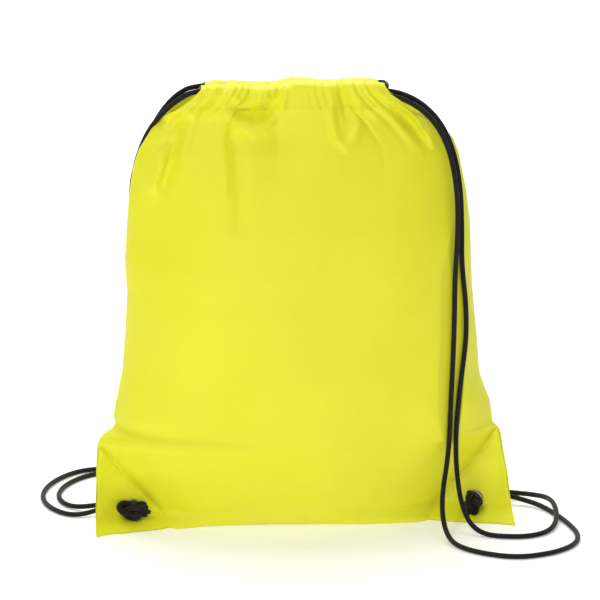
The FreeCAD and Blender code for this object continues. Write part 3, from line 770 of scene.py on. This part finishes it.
def make_panel_half(face, side, points, normals):
    """One half of a panel, with the whole panel's normals so that the halves meet unseen."""
    middle = ARC_COLUMNS // 2
    chosen = slice(0, middle + 1) if side == LEFT else slice(middle, ARC_COLUMNS)
    part, part_normals = points[:, chosen], normals[:, chosen]
    rows, columns = part.shape[:2]
    flat_points = part.reshape(-1, 3)
    hole = eyelet_gap(flat_points, side) < EYELET_HOLE
    hole &= side * flat_points[:, 0] > 100
    faces = [
        quad for quad in grid_faces(rows, columns, flip=face == BACK)
        if not any(hole[list(quad)])
    ]
    name = f"{FACE_NAME[face]}_{SIDE_NAME[side]}_cloth"
    piece = make_object(name, flat_points, faces, FABRIC)
    piece.data.normals_split_custom_set_from_vertices(part_normals.reshape(-1, 3))
    return piece


panel_grids = {}
for face in (FRONT, BACK):
    points = panel_points(face)
    normals = grid_normals(points, face)
    panel_grids[face] = (points, normals)
    for side in (LEFT, RIGHT):
        piece = make_panel_half(face, side, points, normals)
        follow_mouth(piece)
        word = FACE_NAME[face]
        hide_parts(f"{word}_panel", f"{word}_hem_middle", f"{word}_hem_{SIDE_NAME[side]}")


# ---------------------------------------------------------------- corner patches


def patch_rows(side):
    """Heights of a patch's rows, and its two side limits at each."""
    foot, top, top_height = FLAP_ROOTS[side]
    heights = np.linspace(1.3, top_height - 3.0, 46)
    inner = foot + 2.0 + (top - foot) * heights / top_height
    outer = soft_table(EDGES[side], heights, 1.6) - 1.4
    return heights, inner, np.maximum(outer, inner + 1.2)


def patch_point(face, across, height, lift):
    """A point on the flap's cloth, lifted off its middle layer."""
    depth = flap_shift(np.asarray(across), np.asarray(height)) + face * lift
    return np.stack([np.asarray(across) + 0 * depth, depth, np.asarray(height) + 0 * depth], axis=-1)


def make_patch(side, face):
    """Triangular doubler sewn over a corner, its edge turned under."""
    heights, inner, outer = patch_rows(side)
    share = np.linspace(0, 1, 44)[None, :]
    distance = inner[:, None] + (outer - inner)[:, None] * share
    rim = np.minimum(distance - inner[:, None], outer[:, None] - distance)
    rim = np.minimum(rim, (heights - heights[0])[:, None])
    lift = 0.9 + 1.2 * np.sqrt(smoothstep(-0.2, 1.6, rim))
    slant = smoothstep(9, 0, distance - inner[:, None])
    lift = lift + 0.30 * slant * np.sin(heights / 1.9)[:, None] * smoothstep(0, 2, rim)
    points = patch_point(face, side * distance, heights[:, None], lift)
    rows, columns = points.shape[:2]
    flat_points = points.reshape(-1, 3)
    hole = eyelet_gap(flat_points, side) < EYELET_HOLE
    faces = [
        quad for quad in grid_faces(rows, columns, flip=side * face == 1)
        if not any(hole[list(quad)])
    ]
    piece = make_object(f"{FACE_NAME[face]}_{SIDE_NAME[side]}_patch_cloth", flat_points, faces, FABRIC)
    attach(piece, "bag")
    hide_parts(f"{FACE_NAME[face]}_{SIDE_NAME[side]}_patch")


for side in (LEFT, RIGHT):
    for face in (FRONT, BACK):
        make_patch(side, face)

# ---------------------------------------------------------------- sewing thread
STITCH = 2.0
STITCH_PITCH = 2.9
THREAD_RADIUS = 0.24


def stitch_mesh(lines, outward):
    """Short rounded stitches along lines in mm, half sunk in the cloth."""
    vertices, faces = [], []
    profile = [(0.0, 0.2), (0.12, 0.8), (0.5, 1.0), (0.88, 0.8), (1.0, 0.2)]
    for line, out in zip(lines, outward):
        line = np.asarray(line, float)
        steps = np.linalg.norm(np.diff(line, axis=0), axis=1)
        along = np.concatenate([[0], np.cumsum(steps)])
        for start in np.arange(1.0, along[-1] - STITCH, STITCH_PITCH):
            ends = [
                np.array([np.interp(where, along, line[:, axis]) for axis in range(3)])
                for where in (start, start + STITCH)
            ]
            run = ends[1] - ends[0]
            run = run / np.linalg.norm(run)
            normal = np.array([np.interp(start, along, out[:, axis]) for axis in range(3)])
            normal = normal - run * np.dot(normal, run)
            normal = normal / np.linalg.norm(normal)
            across = np.cross(run, normal)
            base = len(vertices)
            for share, size in profile:
                centre = ends[0] + (ends[1] - ends[0]) * share
                for corner in range(6):
                    angle = math.pi / 3 * corner
                    ring = math.cos(angle) * normal + math.sin(angle) * across
                    vertices.append(centre + ring * THREAD_RADIUS * size)
            for quad in grid_faces(len(profile), 6, wrap=True):
                faces.append(tuple(base + index for index in quad))
            faces.append(tuple(base + index for index in range(6))[::-1])
            faces.append(tuple(base + 24 + index for index in range(6)))
    return vertices, faces


def make_flap_stitches(side, face):
    """Two rows along a patch's slanted edge, and one up the flap's side."""
    heights, inner, outer = patch_rows(side)
    lines = []
    for distance in (inner + 1.9, inner + 4.6, outer - 3.2):
        keep = distance < outer - 1.5
        if distance[0] > inner[0] + 20:
            keep = distance > inner + 6
        lines.append(patch_point(face, side * distance[keep], heights[keep], 2.12))
    out = [np.tile((0.0, float(face), 0.0), (len(line), 1)) for line in lines]
    vertices, faces = stitch_mesh(lines, out)
    piece = make_object(f"{FACE_NAME[face]}_{SIDE_NAME[side]}_patch_stitches", vertices, faces, THREAD)
    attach(piece, "bag")


def make_hem_stitches(side, face, points, normals):
    """The row that closes the tunnel's lower edge."""
    row = int(np.argmin(np.abs(points[:len(WALL_HEIGHTS) + 20, 0, 2] - HEM_SEAM - 1.2)))
    middle = ARC_COLUMNS // 2
    chosen = slice(0, middle + 1) if side == LEFT else slice(middle, ARC_COLUMNS)
    line = points[row, chosen] + normals[row, chosen] * 0.08
    vertices, faces = stitch_mesh([line], [normals[row, chosen]])
    piece = make_object(f"{FACE_NAME[face]}_{SIDE_NAME[side]}_hem_stitches", vertices, faces, THREAD)
    follow_mouth(piece)


for side in (LEFT, RIGHT):
    for face in (FRONT, BACK):
        make_flap_stitches(side, face)
        make_hem_stitches(side, face, *panel_grids[face])

# ---------------------------------------------------------------- eyelets


def make_lathe(name, profile, side, material, around=64):
    """A ring turned about an eyelet's axis from (radius, along the backward normal) in mm."""
    normal = EYELET_NORMAL[side]
    first = np.cross(normal, (0, 0, 1.0))
    first /= np.linalg.norm(first)
    second = np.cross(normal, first)
    angles = np.linspace(0, 2 * math.pi, around, endpoint=False)
    vertices = []
    for radius, along in profile:
        for angle in angles:
            ring = math.cos(angle) * first + math.sin(angle) * second
            vertices.append(EYELET_CENTRE[side] + normal * along + ring * radius)
    faces = grid_faces(len(profile) + 1, around, wrap=True)
    count = len(vertices)
    faces = [tuple(index % count for index in quad) for quad in faces]
    return make_object(name, vertices, faces, material)


EYELET_PROFILE = [
    (4.2, 3.6), (4.15, 0.0), (4.2, -2.6), (4.5, -3.3), (5.1, -3.75), (5.9, -3.85),
    (6.7, -3.6), (7.3, -3.1), (7.5, -2.65), (7.3, -2.5), (5.0, -2.5), (4.7, -1.5), (4.7, 3.5),
]
WASHER_PROFILE = [
    (4.95, 2.6), (7.3, 2.6), (7.5, 2.8), (7.4, 3.2), (6.8, 3.45), (5.6, 3.5), (5.0, 3.3),
]
for side in (LEFT, RIGHT):
    for word, profile in (("eyelet", EYELET_PROFILE), ("eyelet_washer", WASHER_PROFILE)):
        ring = make_lathe(f"{SIDE_NAME[side]}_{word}_ring", profile, side, METAL)
        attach(ring, "bag")
        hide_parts(f"{SIDE_NAME[side]}_{word}")

# ---------------------------------------------------------------- knots and cord turns
KNOT_CENTRES = {LEFT: (-147.3, -18.6, 15.8), RIGHT: (143.6, -18.4, 13.6)}
KNOT_REACHES = {LEFT: (11.4, 3.4, 6.0), RIGHT: (5.8, 3.4, 8.6)}
DOUBLE = 1.9
# how far a cord's turn stands out of the tunnels at its middle
TURN_REACH = 2.4


def knot_lines(side):
    """Both cord ends from behind the eyelet, through it, round the knot and out as tails."""
    reach = np.array(KNOT_REACHES[side])
    centre = np.array(KNOT_CENTRES[side])
    turns = np.linspace(0.3, 2 * math.pi + 0.9, 90)
    across = (np.sin(turns) + 2 * np.sin(2 * turns)) / 3
    upright = (np.cos(turns) - 2 * np.cos(2 * turns)) / 3
    if side == RIGHT:
        across, upright = -upright, across
    loop = np.stack([across, np.sin(3 * turns) * 1.0, upright], axis=1) * reach
    loop[:, 2] -= loop[:, 2].mean()
    loop = loop + centre
    _, normals, binormals = line_frames(loop)
    twist = np.linspace(0, 2.6 * math.pi, len(turns))[:, None]
    beside = np.cos(twist) * normals + np.sin(twist) * binormals
    lines = [(loop + beside * DOUBLE, CORD_DIAMETER), (loop - beside * DOUBLE, CORD_DIAMETER)]
    hole, normal = EYELET_CENTRE[side], EYELET_NORMAL[side]
    for offset in (-1, 1):
        shift = np.array((offset * DOUBLE, 0, 0))
        start = hole + normal * 6.0 + shift * 1.2
        middle = hole + shift
        out = hole - normal * 5.5 + shift
        rest = centre + np.array((offset * 2.5, 1.5, 2.0))
        lines.append(([start, middle, out, rest], 3.9))
    tail_turn = {LEFT: (1.0, -0.25, -0.22), RIGHT: (-0.35, -0.35, -0.8)}[side]
    for offset, length in ((1, 15.5), (-1, 13.0)):
        bend = np.array(tail_turn)
        begin = centre + np.array((0, -1.0 * offset, 1.8 * offset))
        lines.append(([begin, begin + bend * length * 0.6 + (0, 0, 0.8 * offset),
                       begin + bend * length], 4.2))
    return lines


for side in (LEFT, RIGHT):
    knot = join_lengths(f"{SIDE_NAME[side]}_knot_cord", knot_lines(side))
    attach(knot, "bag")
    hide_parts(f"{SIDE_NAME[side]}_knot")


def turn_line(mouth, side, height, leg_end):
    """A cord's turn round a mouth end: out of one tunnel and back into the other."""
    sweep = np.linspace(-math.pi / 2, math.pi / 2, 25)
    turn = [
        (mouth + side * (0.5 + TURN_REACH * math.cos(angle)), TUNNEL * math.sin(angle), height)
        for angle in sweep
    ]
    legs = [(leg_end, -TUNNEL, height)], [(leg_end, TUNNEL, height)]
    return legs[0] + turn + legs[1]


CORD_TURNS = {
    # body and node: mouth end, its side, height, where the legs end inside the tunnels
    ("right_cord", "right_cord_loop"): (MOUTH_END[LEFT], LEFT, 370.8, -24.0),
    ("left_cord", "left_cord_loop"): (MOUTH_END[RIGHT], RIGHT, 376.2, 8.0),
}
for (body, node), (mouth, side, height, leg_end) in CORD_TURNS.items():
    loop = join_lengths(node + "_braid", [(turn_line(mouth, side, height, leg_end), CORD_DIAMETER)])
    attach(loop, body)
    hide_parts(node)

for node, piece in strand_pieces.items():
    side = RIGHT if node.startswith("right") else LEFT
    tunnel = -TUNNEL if "front" in node else TUNNEL
    mouth = (MOUTH_END[side], tunnel, STRAND_HEIGHT[side])
